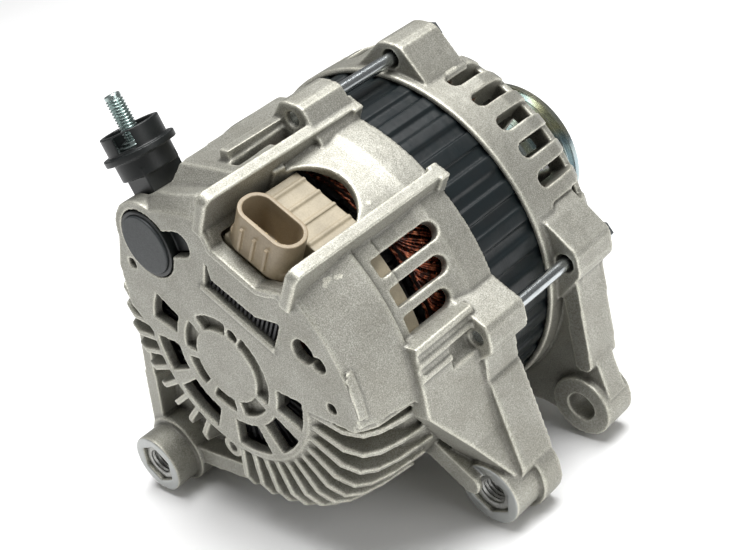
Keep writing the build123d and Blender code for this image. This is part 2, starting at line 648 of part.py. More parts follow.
def pulley():
    """Grooved belt pulley with a thin web, a hub on the shaft and an open front."""
    first = BELT_PLANE - 3 * BELT_RIB_PITCH
    last = BELT_PLANE + 3 * BELT_RIB_PITCH
    root = PULLEY_RADIUS - 3.0
    crest = PULLEY_RADIUS - 0.3
    profile = [(SHAFT_RADIUS, PULLEY_REAR), (22, PULLEY_REAR), (PULLEY_RADIUS, PULLEY_REAR + 1.2)]
    profile.append((PULLEY_RADIUS, first - 0.3))
    for index in range(6):
        start = first + index * BELT_RIB_PITCH
        end = start + BELT_RIB_PITCH
        middle = (start + end) / 2
        profile += [(root, middle - 0.3), (root, middle + 0.3), (crest, end - 0.3), (crest, end)]
    profile += [(PULLEY_RADIUS, last + 0.3), (PULLEY_RADIUS, PULLEY_FRONT), (20.5, PULLEY_FRONT),
                (19.5, PULLEY_FRONT - 1), (19.5, 144), (SHAFT_RADIUS, 144)]
    keep("pulley", lathe(profile))
    keep("pulley_spacer", ring(12, SHAFT_RADIUS, FRONT_BEARING_START + FRONT_BEARING_WIDTH, PULLEY_REAR))
    nut = hexagon_rod(22, 144.8, 152.5, 0, 0) + rod(14, 144, 145.6)
    keep("pulley_nut", (nut - rod(8.0, 143, 156)) & rod(13.2, 143, 153))


# ---- bearings ----
def bearing(label, bore, outer, y0, width, ball_radius, count):
    """Deep-groove ball bearing as races, balls and a pair of seals."""
    middle = y0 + width / 2
    pitch = (bore + outer) / 2
    groove = Pos(0, middle, 0) * Rot(-90, 0, 0) * Torus(pitch, ball_radius + RUNNING_GAP)
    shoulder = ball_radius * 0.5
    keep(label + "_outer_race", ring(outer, pitch + shoulder, y0, y0 + width) - groove)
    keep(label + "_inner_race", ring(pitch - shoulder, bore, y0, y0 + width) - groove)
    ball = Pos(pitch, middle, 0) * Sphere(ball_radius)
    balls = [turned(ball, index * 360 / count) for index in range(count)]
    keep(label + "_balls", balls)
    seals = []
    for start in (y0 + 0.3, y0 + width - 1.1):
        seals.append(ring(pitch + shoulder, pitch - shoulder + 0.35, start, start + 0.8))
    keep(label + "_seals", seals)


def bearings():
    bearing("rear_bearing", REAR_SEAT_RADIUS, REAR_BEARING_RADIUS, REAR_BEARING_START, REAR_BEARING_WIDTH,
            ball_radius=2.9, count=9)
    bearing("front_bearing", SHAFT_RADIUS, FRONT_BEARING_RADIUS, FRONT_BEARING_START, FRONT_BEARING_WIDTH,
            ball_radius=4.2, count=8)


# ---- rectifier ----
def screw_holes(shape, radius):
    for angle in RECTIFIER_SCREW_ANGLES:
        shape = shape - rod(radius, 0, 40, *polar(RECTIFIER_SCREW_CIRCLE, angle))
    return shape


def rectifier():
    rear = sector(42.8, 23.5, RECTIFIER_START, RECTIFIER_END, SINK_REAR, SINK_FRONT)
    fins = [spoke(23.5, 33.2, angle, 1.3, 4.8, SINK_REAR + 0.2) for angle in range(154, 350, 6)]
    rear = screw_holes(rear + union(fins), 2.0)
    rear = rear - union([rod(DIODE_RADIUS, 10, 14, *polar(30, angle)) for angle in REAR_DIODE_ANGLES])
    keep("rectifier_positive_heat_sink", rear)
    board = sector(47.5, 25, RECTIFIER_START + 13, RECTIFIER_END - 2, BOARD_REAR, BOARD_FRONT)
    for angle in LEAD_ANGLES:
        board = board + rod(1.6, BOARD_FRONT - 1.6, BOARD_FRONT, *polar(LEAD_CIRCLE - 2.2, angle))
    keep("rectifier_terminal_board", screw_holes(board, 2.0))
    front = sector(46, 24.5, RECTIFIER_START + 14, RECTIFIER_END, FRONT_SINK_REAR, FRONT_SINK_FRONT)
    front = screw_holes(front, 2.0)
    front = front - union([rod(DIODE_RADIUS, 20, 24, *polar(34, angle)) for angle in FRONT_DIODE_ANGLES])
    front = front - union([rod(1.6, 20, 24, *polar(LEAD_CIRCLE, angle)) for angle in LEAD_ANGLES])
    keep("rectifier_negative_heat_sink", front)
    diodes = []
    for angle in REAR_DIODE_ANGLES:
        diodes.append(rod(DIODE_RADIUS, SINK_REAR - 0.8, BOARD_REAR - 0.4, *polar(30, angle)))
    for angle in FRONT_DIODE_ANGLES:
        diodes.append(rod(DIODE_RADIUS, BOARD_FRONT + 0.4, 25.4, *polar(34, angle)))
    keep("rectifier_diodes", diodes)
    screws = []
    spacers = []
    for angle in RECTIFIER_SCREW_ANGLES:
        x, z = polar(RECTIFIER_SCREW_CIRCLE, angle)
        screws.append(rod(2.0, 6, 23, x, z) + hexagon_rod(6, FRONT_SINK_FRONT, 25.2, x, z))
        spacers.append(ring(3.8, 2.0, SINK_FRONT, BOARD_REAR, x, z))
        spacers.append(ring(3.8, 2.0, BOARD_FRONT, FRONT_SINK_REAR, x, z))
    keep("rectifier_screws", screws)
    keep("rectifier_spacers", spacers)


def rectifier_posts(bracket):
    """Posts on the inside of the rear plate that carry the rectifier."""
    for angle in RECTIFIER_SCREW_ANGLES:
        x, z = polar(RECTIFIER_SCREW_CIRCLE, angle)
        bracket = bracket + rod(4.2, WALL - 0.6, SINK_REAR, x, z) - rod(2.0, 5.5, 12, x, z)
    return bracket


# ---- regulator, connector and brushes ----
def regulator_case():
    """Moulded case of the regulator, with ribs on its top."""
    body = regulator_block(-REGULATOR_HALF_WIDTH, REGULATOR_HALF_WIDTH, 44, REGULATOR_TOP, 4.6, 34)
    body = body - regulator_block(-20, 20, 50, 70, 0, 15.6)
    for offset in (-9.5, -3.2, 3.2, 9.5):
        rib = regulator_block(offset - 0.6, offset + 0.6, REGULATOR_TOP - 0.2, REGULATOR_TOP + 0.6, 16, 34)
        body = body + rib
    return body


def regulator():
    keep("regulator_body", regulator_case())
    sink = regulator_block(-17.5, 14.5, 26.5, 41.5, 8.6, 11)
    slot_room = turned(prism(HEAT_SINK_SHOW, 1.4, 5), REGULATOR_ANGLE)
    fins = []
    for index in range(SINK_FIN_COUNT):
        t = SINK_FIN_START + index * SINK_FIN_PITCH
        fins.append(regulator_block(t - 0.4, t + 0.4, 26.5, 41.5, 4.6, 8.8))
        fins.append(regulator_block(t - 0.4, t + 0.4, 26.5, 41.5, 1.4, 4.8) & slot_room)
    keep("regulator_heat_sink", sink + union(fins))
    keep("insulator_guard", sector(58.8, 54, 6, 35.5, 25.2, 32.6))


def rounded_block(width, depth, corner, r0, r1):
    """Rounded bar standing out along the regulator's line; width is across it, depth is along the shaft."""
    base = Plane(origin=(r0, CONNECTOR_Y, 0), x_dir=(0, 0, 1), z_dir=(1, 0, 0))
    return turned(extrude(base * RectangleRounded(width, depth, corner), amount=r1 - r0), REGULATOR_ANGLE)


def connector():
    shroud = rounded_block(23.4, 12.6, 5.9, 50, CONNECTOR_TOP)
    foot = rounded_block(24.8, 9.8, 3.0, 50, 53.5)
    ribs = [regulator_block(t - 0.6, t + 0.6, 52, 61, 1.6, 4) for t in (-5, 0, 5)]
    shroud = shroud + foot + union(ribs)
    shroud = shroud - rounded_block(20.6, 9.8, 4.6, 51.5, CONNECTOR_TOP + 1)
    keep("connector_shroud", shroud)
    pins = []
    for t in (-6, -2, 2, 6):
        pins.append(regulator_block(t - 0.4, t + 0.4, 51.5, 56.5, CONNECTOR_Y - 1.1, CONNECTOR_Y + 1.1))
    keep("connector_pins", pins)


def brushes():
    holder = Pos(0, 25, 25) * Box(13, 16.4, 26)
    holder = holder - rod(13.2, 10, 40)
    bridge = Pos(8, 25, 34) * Box(8, 14, 8) + Pos(14, 25, 39) * Box(7, 14, 12)
    holder = holder + (bridge - regulator_case())
    for index, name in enumerate(("rear", "front")):
        y = BRUSH_FIRST_Y + index * BRUSH_PITCH
        channel = Pos(0, y, 22) * Box(2 * BRUSH_HALF_X + 0.1, 2 * BRUSH_HALF_Y + 0.1, 31)
        holder = holder - channel
        brush = Pos(0, y, (BRUSH_END + 6) / 2) * Box(2 * BRUSH_HALF_X, 2 * BRUSH_HALF_Y, BRUSH_END - 6)
        keep("brush_" + name, brush - rod(SLIP_RING_RADIUS + 0.02, 10, 40))
        keep("brush_spring_" + name, coil_spring(y, BRUSH_END, 37.5))
    keep("brush_holder", holder)


def coil_spring(y, z0, z1):
    """Round-wire compression spring standing along Z between two flat ends."""
    wire = 0.35
    helix = Helix(pitch=(z1 - z0 - 2 * wire) / 7, height=z1 - z0 - 2 * wire, radius=1.6)
    start = Plane(origin=helix @ 0, z_dir=helix % 0)
    return Pos(0, y, z0 + wire) * sweep(start * Circle(wire), path=helix, is_frenet=True)


# ---- output terminal ----
def terminal_place(shape):
    """Put a shape drawn along local X, outwards from the terminal's cap, in its place."""
    return Pos(TERMINAL_X, TERMINAL_Y, TERMINAL_Z) * Rot(0, -TERMINAL_ANGLE, 0) * shape


def bar_x(radius, x0, x1):
    return Pos((x0 + x1) / 2, 0, 0) * Rot(0, 90, 0) * Cylinder(radius, x1 - x0)


def terminal_insulator():
    column = Pos(11, 0, -1.1) * Box(22, 14, 12.4)
    skirt = bar_x(9.8, 19.5, 25.6)
    flange = bar_x(12.2, 25.8, 28.0)
    collar = bar_x(10.1, 28.0, 34.6) - bar_x(8.3, 28.0, 40)
    notch = Rot(39, 0, 0) * Pos(31.5, -9, 0) * Box(5.2, 8, 6.5)
    arm = column + skirt + flange + collar - notch
    body = terminal_place(arm) + rod(TERMINAL_BODY_RADIUS, -0.4, 22, TERMINAL_X, TERMINAL_Z)
    body = body + slab(strip((TERMINAL_X, TERMINAL_Z), (-3, 44.3), 3.9), 3, 14)
    body = body - rod(TERMINAL_CAP_RADIUS, -3, 1.6, TERMINAL_X, TERMINAL_Z)
    body = body - terminal_place(bar_x(STUD_RADIUS - 0.55, 12, 30)) - terminal_place(bar_x(6.4, 26.4, 30))
    body = body - rod(3.2, 15, 23, TERMINAL_X, TERMINAL_Z)
    keep("output_insulator", body)
    keep("output_cap", rod(TERMINAL_CAP_RADIUS, -1.2, 1.6, TERMINAL_X, TERMINAL_Z))


def output_stud():
    """Stud with a clamped round foot; its thread is drawn as a plain rod of the thread's outer size."""
    root = STUD_RADIUS - 0.55
    profile = [(0, 12), (root, 12), (root, 26.4), (6.4, 26.4), (6.4, 29.4), (4.6, 29.4), (4.6, 30.4),
               (STUD_RADIUS, 30.4), (STUD_RADIUS, 44.0), (root, 44.5), (root, 45.4), (root - 0.4, 45.8),
               (0, 45.8)]
    stud = revolve(Plane.XY * Polygon(*profile, align=None), axis=Axis.Y)
    stud = stud - slab(RegularPolygon(1.5, 6), 44.6, 47)
    keep("output_stud", terminal_place(Rot(0, 0, -90) * stud))


def busbar():
    """Brass strap from the output terminal to the rectifier's positive heat sink."""
    end = polar(36, 155)
    strap = slab(strip((TERMINAL_X, TERMINAL_Z), end, 3.8), 22.2, 23.6)
    post = rod(3.0, SINK_FRONT, 22.4, *end)
    screw = rod(3.2, 15, 22.4, TERMINAL_X, TERMINAL_Z)
    keep("output_busbar", strap + post + screw)


def capacitor():
    x, z = polar(44, 112)
    keep("suppression_capacitor", Pos(x, 31, z) * Box(12, 10, 9))


def write_parts():
    os.makedirs("parts", exist_ok=True)
    for name, shape in PARTS.items():
        solids = shape if isinstance(shape, list) else pieces(shape)
        placed = [Pos(0, -BELT_PLANE, 0) * solid for solid in solids]
        export_step(placed[0] if len(placed) == 1 else Compound(children=placed), f"parts/{name}.step")


rear_bracket()
front_bracket()
bearing_retainer()
through_bolts()
rear_lug_nuts()
stator_core()
stator_winding()
shaft()
rotor_core()
fans()
slip_rings()
pulley()
bearings()
rectifier()
regulator()
connector()
brushes()
terminal_insulator()
output_stud()
busbar()
capacitor()
write_parts()
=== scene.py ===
"""Looks of the car alternator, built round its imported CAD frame. Lengths are in metres."""
import json
import math
import random

import bpy
from mathutils import Matrix, Vector


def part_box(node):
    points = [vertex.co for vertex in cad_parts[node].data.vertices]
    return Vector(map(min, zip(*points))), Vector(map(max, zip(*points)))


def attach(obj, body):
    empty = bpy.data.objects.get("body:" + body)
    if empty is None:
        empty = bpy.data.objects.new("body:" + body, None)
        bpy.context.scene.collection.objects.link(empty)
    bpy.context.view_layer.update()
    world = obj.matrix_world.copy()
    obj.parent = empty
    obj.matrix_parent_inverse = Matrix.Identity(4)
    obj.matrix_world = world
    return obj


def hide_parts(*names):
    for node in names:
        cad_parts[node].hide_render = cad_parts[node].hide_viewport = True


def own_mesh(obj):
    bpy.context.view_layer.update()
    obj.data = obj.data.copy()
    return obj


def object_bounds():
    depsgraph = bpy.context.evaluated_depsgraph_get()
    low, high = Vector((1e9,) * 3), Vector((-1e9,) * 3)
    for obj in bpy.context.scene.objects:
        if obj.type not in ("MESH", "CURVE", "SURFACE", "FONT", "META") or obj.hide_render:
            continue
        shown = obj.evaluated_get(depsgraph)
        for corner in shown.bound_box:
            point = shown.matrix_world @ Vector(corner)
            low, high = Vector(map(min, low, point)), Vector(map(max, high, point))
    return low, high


MM = 0.001

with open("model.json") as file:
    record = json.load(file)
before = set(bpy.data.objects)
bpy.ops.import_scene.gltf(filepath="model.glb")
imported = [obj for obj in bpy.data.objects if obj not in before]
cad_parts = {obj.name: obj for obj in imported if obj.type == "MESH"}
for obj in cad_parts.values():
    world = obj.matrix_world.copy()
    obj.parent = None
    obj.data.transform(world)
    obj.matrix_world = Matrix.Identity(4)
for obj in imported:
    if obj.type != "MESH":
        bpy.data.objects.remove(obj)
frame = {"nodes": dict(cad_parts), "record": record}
NODES = frame["nodes"]
MOUNTS = {mount["name"]: mount for mount in frame["record"]["mounts"]}
cad_box = [list(corner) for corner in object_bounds()]
random.seed(7)

# The machined ring round each rear lug's insert, and how deep the insert is sunk below it.
LUG_RADIUS = 11.4 * MM
INSERT_LENGTH = 10.0 * MM
INSERT_RECESS = 1.6 * MM
INSERT_PLACES = [Vector(MOUNTS[f"rear_{side}_lug_thread"]["pos_m"]) for side in ("left", "right")]
TO_LUG_FACE = Vector((0, INSERT_LENGTH / 2 + INSERT_RECESS, 0))
LUG_FACES = [place - TO_LUG_FACE for place in INSERT_PLACES]


# ---- materials ----
def shader(name, **inputs):
    """A new material and its main shader, with the shader's plain inputs set."""
    material = bpy.data.materials.new(name)
    material.use_nodes = True
    bsdf = material.node_tree.nodes["Principled BSDF"]
    for key, value in inputs.items():
        bsdf.inputs[key.replace("_", " ")].default_value = value
    return material, bsdf


def node(tree, kind, inputs=None, **settings):
    """A shader node with its settings, and its inputs set to numbers or linked to other nodes."""
    made = tree.nodes.new("ShaderNode" + kind)
    for key, value in settings.items():
        setattr(made, key, value)
    for key, value in (inputs or {}).items():
        if isinstance(value, bpy.types.NodeSocket):
            tree.links.new(value, made.inputs[key])
        else:
            made.inputs[key].default_value = value
    return made


def place(tree, stretch=(1, 1, 1)):
    """The point's own place on the object, in metres, stretched along the axes."""
    source = node(tree, "TexCoord").outputs["Object"]
    return node(tree, "Mapping", {"Vector": source, "Scale": stretch}).outputs["Vector"]


def grain(tree, size, detail=2.0, rough=0.5, stretch=(1, 1, 1)):
    """Noise with bumps of that size in metres."""
    inputs = {"Vector": place(tree, stretch), "Scale": 1 / size, "Detail": detail, "Roughness": rough}
    return node(tree, "TexNoise", inputs).outputs["Fac"]


def spread(tree, value, low, high, new_low=0.0, new_high=1.0):
    """The value's range from low to high stretched to a new range."""
    inputs = {"Value": value, "From Min": low, "From Max": high, "To Min": new_low, "To Max": new_high}
    return node(tree, "MapRange", inputs).outputs["Result"]


def ramp(tree, value, *stops):
    """Colour from a value: stops are (position, colour)."""
    made = node(tree, "ValToRGB", {"Fac": value})
    elements = made.color_ramp.elements
    while len(elements) < len(stops):
        elements.new(0.5)
    for element, (position, colour) in zip(elements, stops):
        element.position = position
        element.color = (*colour, 1)
    return made.outputs["Color"]


def blend_colour(tree, factor, first, second, mode="MIX"):
    """Two colours mixed."""
    made = node(tree, "Mix", data_type="RGBA", blend_type=mode)
    for key, value in ((0, factor), (6, first), (7, second)):
        if isinstance(value, bpy.types.NodeSocket):
            tree.links.new(value, made.inputs[key])
        elif key == 0:
            made.inputs[key].default_value = value
        else:
            made.inputs[key].default_value = (*value, 1)
    return made.outputs[2]


def maths(tree, operation, first, second=0.0):
    """One arithmetic step."""
    return node(tree, "Math", {0: first, 1: second}, operation=operation).outputs[0]


def bumped(tree, bsdf, height, depth, after=None):
    """Fine relief, depth in metres; after is a relief already made below it."""
    inputs = {"Height": height, "Distance": depth, "Strength": 1.0}
    if after:
        inputs["Normal"] = after
    out = node(tree, "Bump", inputs).outputs["Normal"]
    tree.links.new(out, bsdf.inputs["Normal"])
    return out


def link(tree, bsdf, **sources):
    """Node outputs linked to the main shader's inputs."""
    for key, socket in sources.items():
        tree.links.new(socket, bsdf.inputs[key.replace("_", " ")])


def near_disc(tree, centre, radius):
    """One where the surface lies on a round face across the shaft, zero elsewhere."""
    feather = 0.3 * MM
    depth = 0.35 * MM
    axes = node(tree, "SeparateXYZ", {0: node(tree, "TexCoord").outputs["Object"]}).outputs
    across = maths(tree, "SUBTRACT", axes[0], centre[0])
    upward = maths(tree, "SUBTRACT", axes[2], centre[2])
    across_squared = maths(tree, "MULTIPLY", across, across)
    upward_squared = maths(tree, "MULTIPLY", upward, upward)
    squares = maths(tree, "ADD", across_squared, upward_squared)
    distance = maths(tree, "SQRT", squares)
    inside = spread(tree, distance, radius - feather, radius, 1, 0)
    gap = maths(tree, "ABSOLUTE", maths(tree, "SUBTRACT", axes[1], centre[1]))
    level = spread(tree, gap, 0.6 * depth, depth, 1, 0)
    return maths(tree, "MULTIPLY", inside, level)


def cast_aluminium():
    """Die-cast aluminium: warm grey and sandy, with a painted highlight on convex edges and painted shade in
    crevices, milled smooth on the rear lug faces.
    """
    material, bsdf = shader("cast_aluminium", Metallic=0.8, Specular_IOR_Level=0.5)
    tree = material.node_tree
    sand = grain(tree, 0.36 * MM, 2, 0.6)
    clouds = grain(tree, 14 * MM, 3, 0.55)
    edges = node(tree, "NewGeometry").outputs["Pointiness"]
    base = ramp(
        tree, sand, (0.30, (0.19, 0.186, 0.16)), (0.5, (0.30, 0.295, 0.262)), (0.70, (0.44, 0.434, 0.395))
    )
    tone = ramp(tree, clouds, (0.35, (0.84, 0.835, 0.82)), (0.65, (1.0, 1.0, 1.0)))
    # Painted highlight and painted shade: pointiness lifts the colour on convex edges and darkens it in
    # crevices.
    painted_edge_highlight_and_crevice_shade = ramp(
        tree, edges, (0.44, (0.3, 0.29, 0.27)), (0.492, (0.95, 0.95, 0.95)), (0.535, (1.9, 1.9, 1.86))
    )
    colour = blend_colour(tree, 1.0, blend_colour(tree, 1.0, base, tone, "MULTIPLY"), painted_edge_highlight_and_crevice_shade, "MULTIPLY")
    milled = 0.0
    for face in LUG_FACES:
        milled = maths(tree, "MAXIMUM", near_disc(tree, face, LUG_RADIUS), milled)
    link(
        tree,
        bsdf,
        Base_Color=blend_colour(tree, milled, colour, (0.36, 0.37, 0.36)),
        Roughness=spread(tree, milled, 0, 1, 0.52, 0.34),
    )
    unevenness = bumped(tree, bsdf, grain(tree, 4 * MM, 2), 0.22 * MM)
    smooth = maths(tree, "SUBTRACT", 1.0, milled)
    bumped(tree, bsdf, maths(tree, "MULTIPLY", sand, smooth), 0.10 * MM, unevenness)
    return material


def plain_metal(name, colour, roughness, metallic=1.0, size=0.6 * MM, depth=0.02 * MM, stretch=(1, 1, 1)):
    """Rolled, drawn or turned metal: a narrow colour change, fine scratches along one direction."""
    material, bsdf = shader(name, Metallic=metallic)
    tree = material.node_tree
    scratches = grain(tree, size, 3, 0.6, stretch)
    darker = tuple(0.72 * c for c in colour)
    link(
        tree,
        bsdf,
        Base_Color=ramp(tree, scratches, (0.3, darker), (0.62, colour)),
        Roughness=spread(tree, scratches, 0.3, 0.7, roughness * 1.25, roughness * 0.8),
    )
    bumped(tree, bsdf, scratches, depth)
    return material


def moulded_plastic(name, colour, roughness, size=0.5 * MM, depth=0.02 * MM, variation=0.8):
    """Moulded plastic: slight mottling from the glass fibres and a fine eroded skin."""
    material, bsdf = shader(name, Specular_IOR_Level=0.5)
    tree = material.node_tree
    skin = grain(tree, size, 3, 0.6)
    clouds = grain(tree, 9 * MM, 3, 0.6)
    darker = tuple(variation * c for c in colour)
    base = ramp(tree, clouds, (0.35, darker), (0.65, colour))
    speck = ramp(tree, skin, (0.35, (0.88, 0.88, 0.88)), (0.6, (1, 1, 1)))
    link(
        tree,
        bsdf,
        Base_Color=blend_colour(tree, 1.0, base, speck, "MULTIPLY"),
        Roughness=spread(tree, skin, 0.3, 0.7, roughness * 1.15, roughness * 0.88),
    )
    bumped(tree, bsdf, skin, depth)
    return material


def stator_coating():
    """Blue-black electrocoat over a pressed stack of laminations, whose edges show as faint rings."""
    material, bsdf = shader("stator_coating", Specular_IOR_Level=0.3, Coat_Weight=0.1, Coat_Roughness=0.3)
    tree = material.node_tree
    clouds = grain(tree, 7 * MM, 3, 0.6)
    laminations = grain(tree, 0.5 * MM, 1, 0.5, (0.05, 1, 0.05))
    colour = ramp(tree, clouds, (0.3, (0.003, 0.0055, 0.0065)), (0.7, (0.007, 0.011, 0.0125)))
    link(
        tree,
        bsdf,
        Base_Color=colour,
        Roughness=spread(tree, clouds, 0.3, 0.7, 0.46, 0.3),
    )
    bumped(tree, bsdf, laminations, 0.05 * MM, bumped(tree, bsdf, clouds, 0.2 * MM))
    return material


def enamelled_copper():
    """Red-brown enamel over copper wire, glossy, darker where varnish has run."""
    material, bsdf = shader("enamelled_copper", Metallic=0.85, Coat_Weight=0.6, Coat_Roughness=0.15)
    tree = material.node_tree
    runs = grain(tree, 2.5 * MM, 3, 0.6)
    colour = ramp(
        tree, runs, (0.42, (0.05, 0.010, 0.005)), (0.54, (0.45, 0.11, 0.05)), (0.66, (0.95, 0.40, 0.22))
    )
    link(tree, bsdf, Base_Color=colour, Roughness=spread(tree, runs, 0.3, 0.7, 0.42, 0.26))
    bumped(tree, bsdf, runs, 0.05 * MM)
    return material


def yellow_zinc():
    """Passivated zinc: silvery, with faint bands of green, gold and blue."""
    material, bsdf = shader("yellow_zinc", Metallic=1.0)
    tree = material.node_tree
    film = grain(tree, 22 * MM, 1, 0.4)
    turning = grain(tree, 0.4 * MM, 2, 0.5, (0.06, 1, 0.06))
    colour = ramp(
        tree,
        film,
        (0.28, (0.44, 0.47, 0.42)),
        (0.42, (0.50, 0.50, 0.38)),
        (0.52, (0.34, 0.42, 0.45)),
        (0.62, (0.46, 0.48, 0.41)),
        (0.74, (0.42, 0.41, 0.44)),
    )
    link(tree, bsdf, Base_Color=colour, Roughness=spread(tree, turning, 0.3, 0.7, 0.30, 0.16))
    bumped(tree, bsdf, turning, 0.02 * MM)
    return material


def floor_paint():
    """Pale studio floor."""
    material, bsdf = shader("studio_floor", Roughness=0.85)
    tree = material.node_tree
    colour = ramp(tree, grain(tree, 60 * MM, 2), (0.3, (0.93, 0.93, 0.93)), (0.7, (0.95, 0.95, 0.95)))
    link(tree, bsdf, Base_Color=colour)
    return material


MATERIALS = {
    "cast_aluminium": cast_aluminium(),
    "stator_coating": stator_coating(),
    "copper": enamelled_copper(),
    "varnish": moulded_plastic("varnish", (0.02, 0.007, 0.005), 0.35, size=1.5 * MM, depth=0.2 * MM),
    "yellow_zinc": yellow_zinc(),
    "zinc_steel": plain_metal("zinc_steel", (0.50, 0.53, 0.54), 0.24, stretch=(1, 0.15, 1)),
    "nut_steel": plain_metal("nut_steel", (0.42, 0.42, 0.40), 0.42, size=0.9 * MM, depth=0.05 * MM),
    "stud_zinc": plain_metal("stud_zinc", (0.52, 0.62, 0.60), 0.26, size=1.2 * MM),
    "plate_steel": plain_metal("plate_steel", (0.45, 0.46, 0.46), 0.38),
    "bearing_steel": plain_metal("bearing_steel", (0.66, 0.66, 0.66), 0.18, stretch=(1, 0.2, 1)),
    "shaft_steel": plain_metal("shaft_steel", (0.58, 0.58, 0.57), 0.25, stretch=(0.2, 1, 0.2)),
    "plain_aluminium": plain_metal("plain_aluminium", (0.66, 0.66, 0.65), 0.4),
    "pole_steel": plain_metal("pole_steel", (0.14, 0.14, 0.15), 0.5, 0.6, size=1.5 * MM, depth=0.1 * MM),
    "spring_steel": plain_metal("spring_steel", (0.60, 0.60, 0.60), 0.3),
    "brass": plain_metal("brass", (0.72, 0.55, 0.28), 0.3),
    "slip_copper": plain_metal("slip_copper", (0.80, 0.42, 0.26), 0.25, stretch=(0.2, 1, 0.2)),
    "diode_case": plain_metal("diode_case", (0.55, 0.55, 0.54), 0.35),
    "black_heat_sink": plain_metal("black_heat_sink", (0.035, 0.035, 0.037), 0.45, 0.4, depth=0.05 * MM),
    "terminal_plastic": moulded_plastic("terminal_plastic", (0.004, 0.006, 0.006), 0.42, variation=0.7),
    "cap_plastic": moulded_plastic("cap_plastic", (0.028, 0.033, 0.035), 0.5, variation=0.9),
    "black_plastic": moulded_plastic("black_plastic", (0.02, 0.02, 0.021), 0.5),
    "beige_plastic": moulded_plastic("beige_plastic", (0.36, 0.31, 0.22), 0.5, depth=0.03 * MM),
    "connector_plastic": moulded_plastic("connector_plastic", (0.34, 0.27, 0.175), 0.42, variation=0.75),
    "seal_rubber": moulded_plastic("seal_rubber", (0.03, 0.022, 0.02), 0.6),
    "brush_carbon": moulded_plastic("brush_carbon", (0.05, 0.045, 0.045), 0.7),
    "slip_insulator": moulded_plastic("slip_insulator", (0.22, 0.08, 0.04), 0.45),
}

FINISHES = {
    "cast_aluminium": ("rear_bracket", "front_bracket"),
    "stator_coating": ("stator_core",),
    "copper": ("stator_winding", "stator_leads", "field_coil"),
    "slip_copper": ("slip_rings",),
    "yellow_zinc": ("pulley", "pulley_spacer", "pulley_nut"),
    "zinc_steel": ("through_bolts", "retainer_screws", "rectifier_screws"),
    "nut_steel": ("rear_lug_nuts",),
    "stud_zinc": ("output_stud",),
    "plate_steel": ("bearing_retainer_plate", "fan_rear", "fan_front"),
    "bearing_steel": (
        "rear_bearing_outer_race",
        "rear_bearing_inner_race",
        "rear_bearing_balls",
        "front_bearing_outer_race",
        "front_bearing_inner_race",
        "front_bearing_balls",
    ),
    "seal_rubber": ("rear_bearing_seals", "front_bearing_seals"),
    "shaft_steel": ("shaft",),
    "plain_aluminium": ("rectifier_spacers",),
    "pole_steel": ("pole_claw_rear", "pole_claw_front"),
    "spring_steel": ("brush_spring_rear", "brush_spring_front"),
    "brass": ("connector_pins", "output_busbar"),
    "diode_case": ("rectifier_diodes",),
    "black_heat_sink": (
        "rectifier_positive_heat_sink",
        "rectifier_negative_heat_sink",
        "regulator_heat_sink",
    ),
    "terminal_plastic": ("output_insulator",),
    "cap_plastic": ("output_cap",),
    "black_plastic": ("rectifier_terminal_board", "coil_bobbin", "suppression_capacitor"),
    "beige_plastic": ("regulator_body", "brush_holder", "insulator_guard"),
    "connector_plastic": ("connector_shroud",),
    "brush_carbon": ("brush_rear", "brush_front"),
    "slip_insulator": ("slip_ring_insulator",),
}

# Castings and mouldings get soft edges. Each is rebuilt from cubes of this size.
SOFTENED = {
    "rear_bracket": 0.5 * MM,
    "front_bracket": 0.5 * MM,
    "stator_core": 0.6 * MM,
    "connector_shroud": 0.22 * MM,
    "regulator_body": 0.35 * MM,
    "output_insulator": 0.28 * MM,
    "output_cap": 0.25 * MM,
}


def finish_nodes():
    """Each CAD node takes its material."""
    for name, members in FINISHES.items():
        for member in members:
            mesh = NODES[member].data
            mesh.materials.clear()
            mesh.materials.append(MATERIALS[name])


def soften_nodes():
    """The softened nodes are rebuilt from cubes, then smoothed."""
    for name, size in SOFTENED.items():
        remesh = NODES[name].modifiers.new("rounded", "REMESH")
        remesh.mode = "VOXEL"
        remesh.voxel_size = size
        remesh.use_smooth_shade = True
        smooth = NODES[name].modifiers.new("smoothed", "SMOOTH")
        smooth.factor = 0.5
        smooth.iterations = 3


# ---- detailed pieces ----
def smooth_mesh(name, points, faces):
    """Mesh with smooth shading."""
    mesh = bpy.data.meshes.new(name)
    mesh.from_pydata(points, [], faces)
    mesh.update()
    mesh.polygons.foreach_set("use_smooth", [True] * len(mesh.polygons))
    return mesh


def tube_of_rings(name, rings, segments, closed=False):
    """Mesh of (y, radius) rings along Y. A radius may be a function of y and the turn round the axis."""
    points = []
    for y, radius in rings:
        for index in range(segments):
            turn = 2 * math.pi * index / segments
            r = radius(y, turn) if callable(radius) else radius
            points.append((r * math.cos(turn), y, r * math.sin(turn)))
    faces = []
    for row in range(len(rings) if closed else len(rings) - 1):
        here = row * segments
        there = (row + 1) % len(rings) * segments
        for index in range(segments):
            side = (index + 1) % segments
            faces.append((here + index, here + side, there + side, there + index))
    if not closed:
        faces.append(tuple(range(segments - 1, -1, -1)))
        faces.append(tuple(range(len(points) - segments, len(points))))
    return smooth_mesh(name, points, faces)


def screw_thread(root, crest, pitch, start, end):
    """Radius of a V thread with a flat root and crest, faded out at both ends."""
    steepness = 1.3
    flat = 0.1
    runout = 0.6 * pitch

    def radius(y, turn):
        along = (y / pitch - turn / (2 * math.pi)) % 1
        height = min(1.0, max(0.0, steepness * (1 - abs(2 * along - 1)) - flat))
        fade = min(1.0, max(0.0, min(y - start, end - y) / runout))
        return root + (crest - root) * height * fade

    return radius


def hexagon(flats, limit=1.0):
    """Radius of a hexagon's outline, cut off by a circle."""

    def radius(y, turn):
        corner = (turn % (math.pi / 3)) - math.pi / 6
        return min(flats / 2 / math.cos(corner), limit)

    return radius


def steps(start, end, count):
    """Evenly spaced values, both ends included."""
    return [start + (end - start) * index / count for index in range(count + 1)]


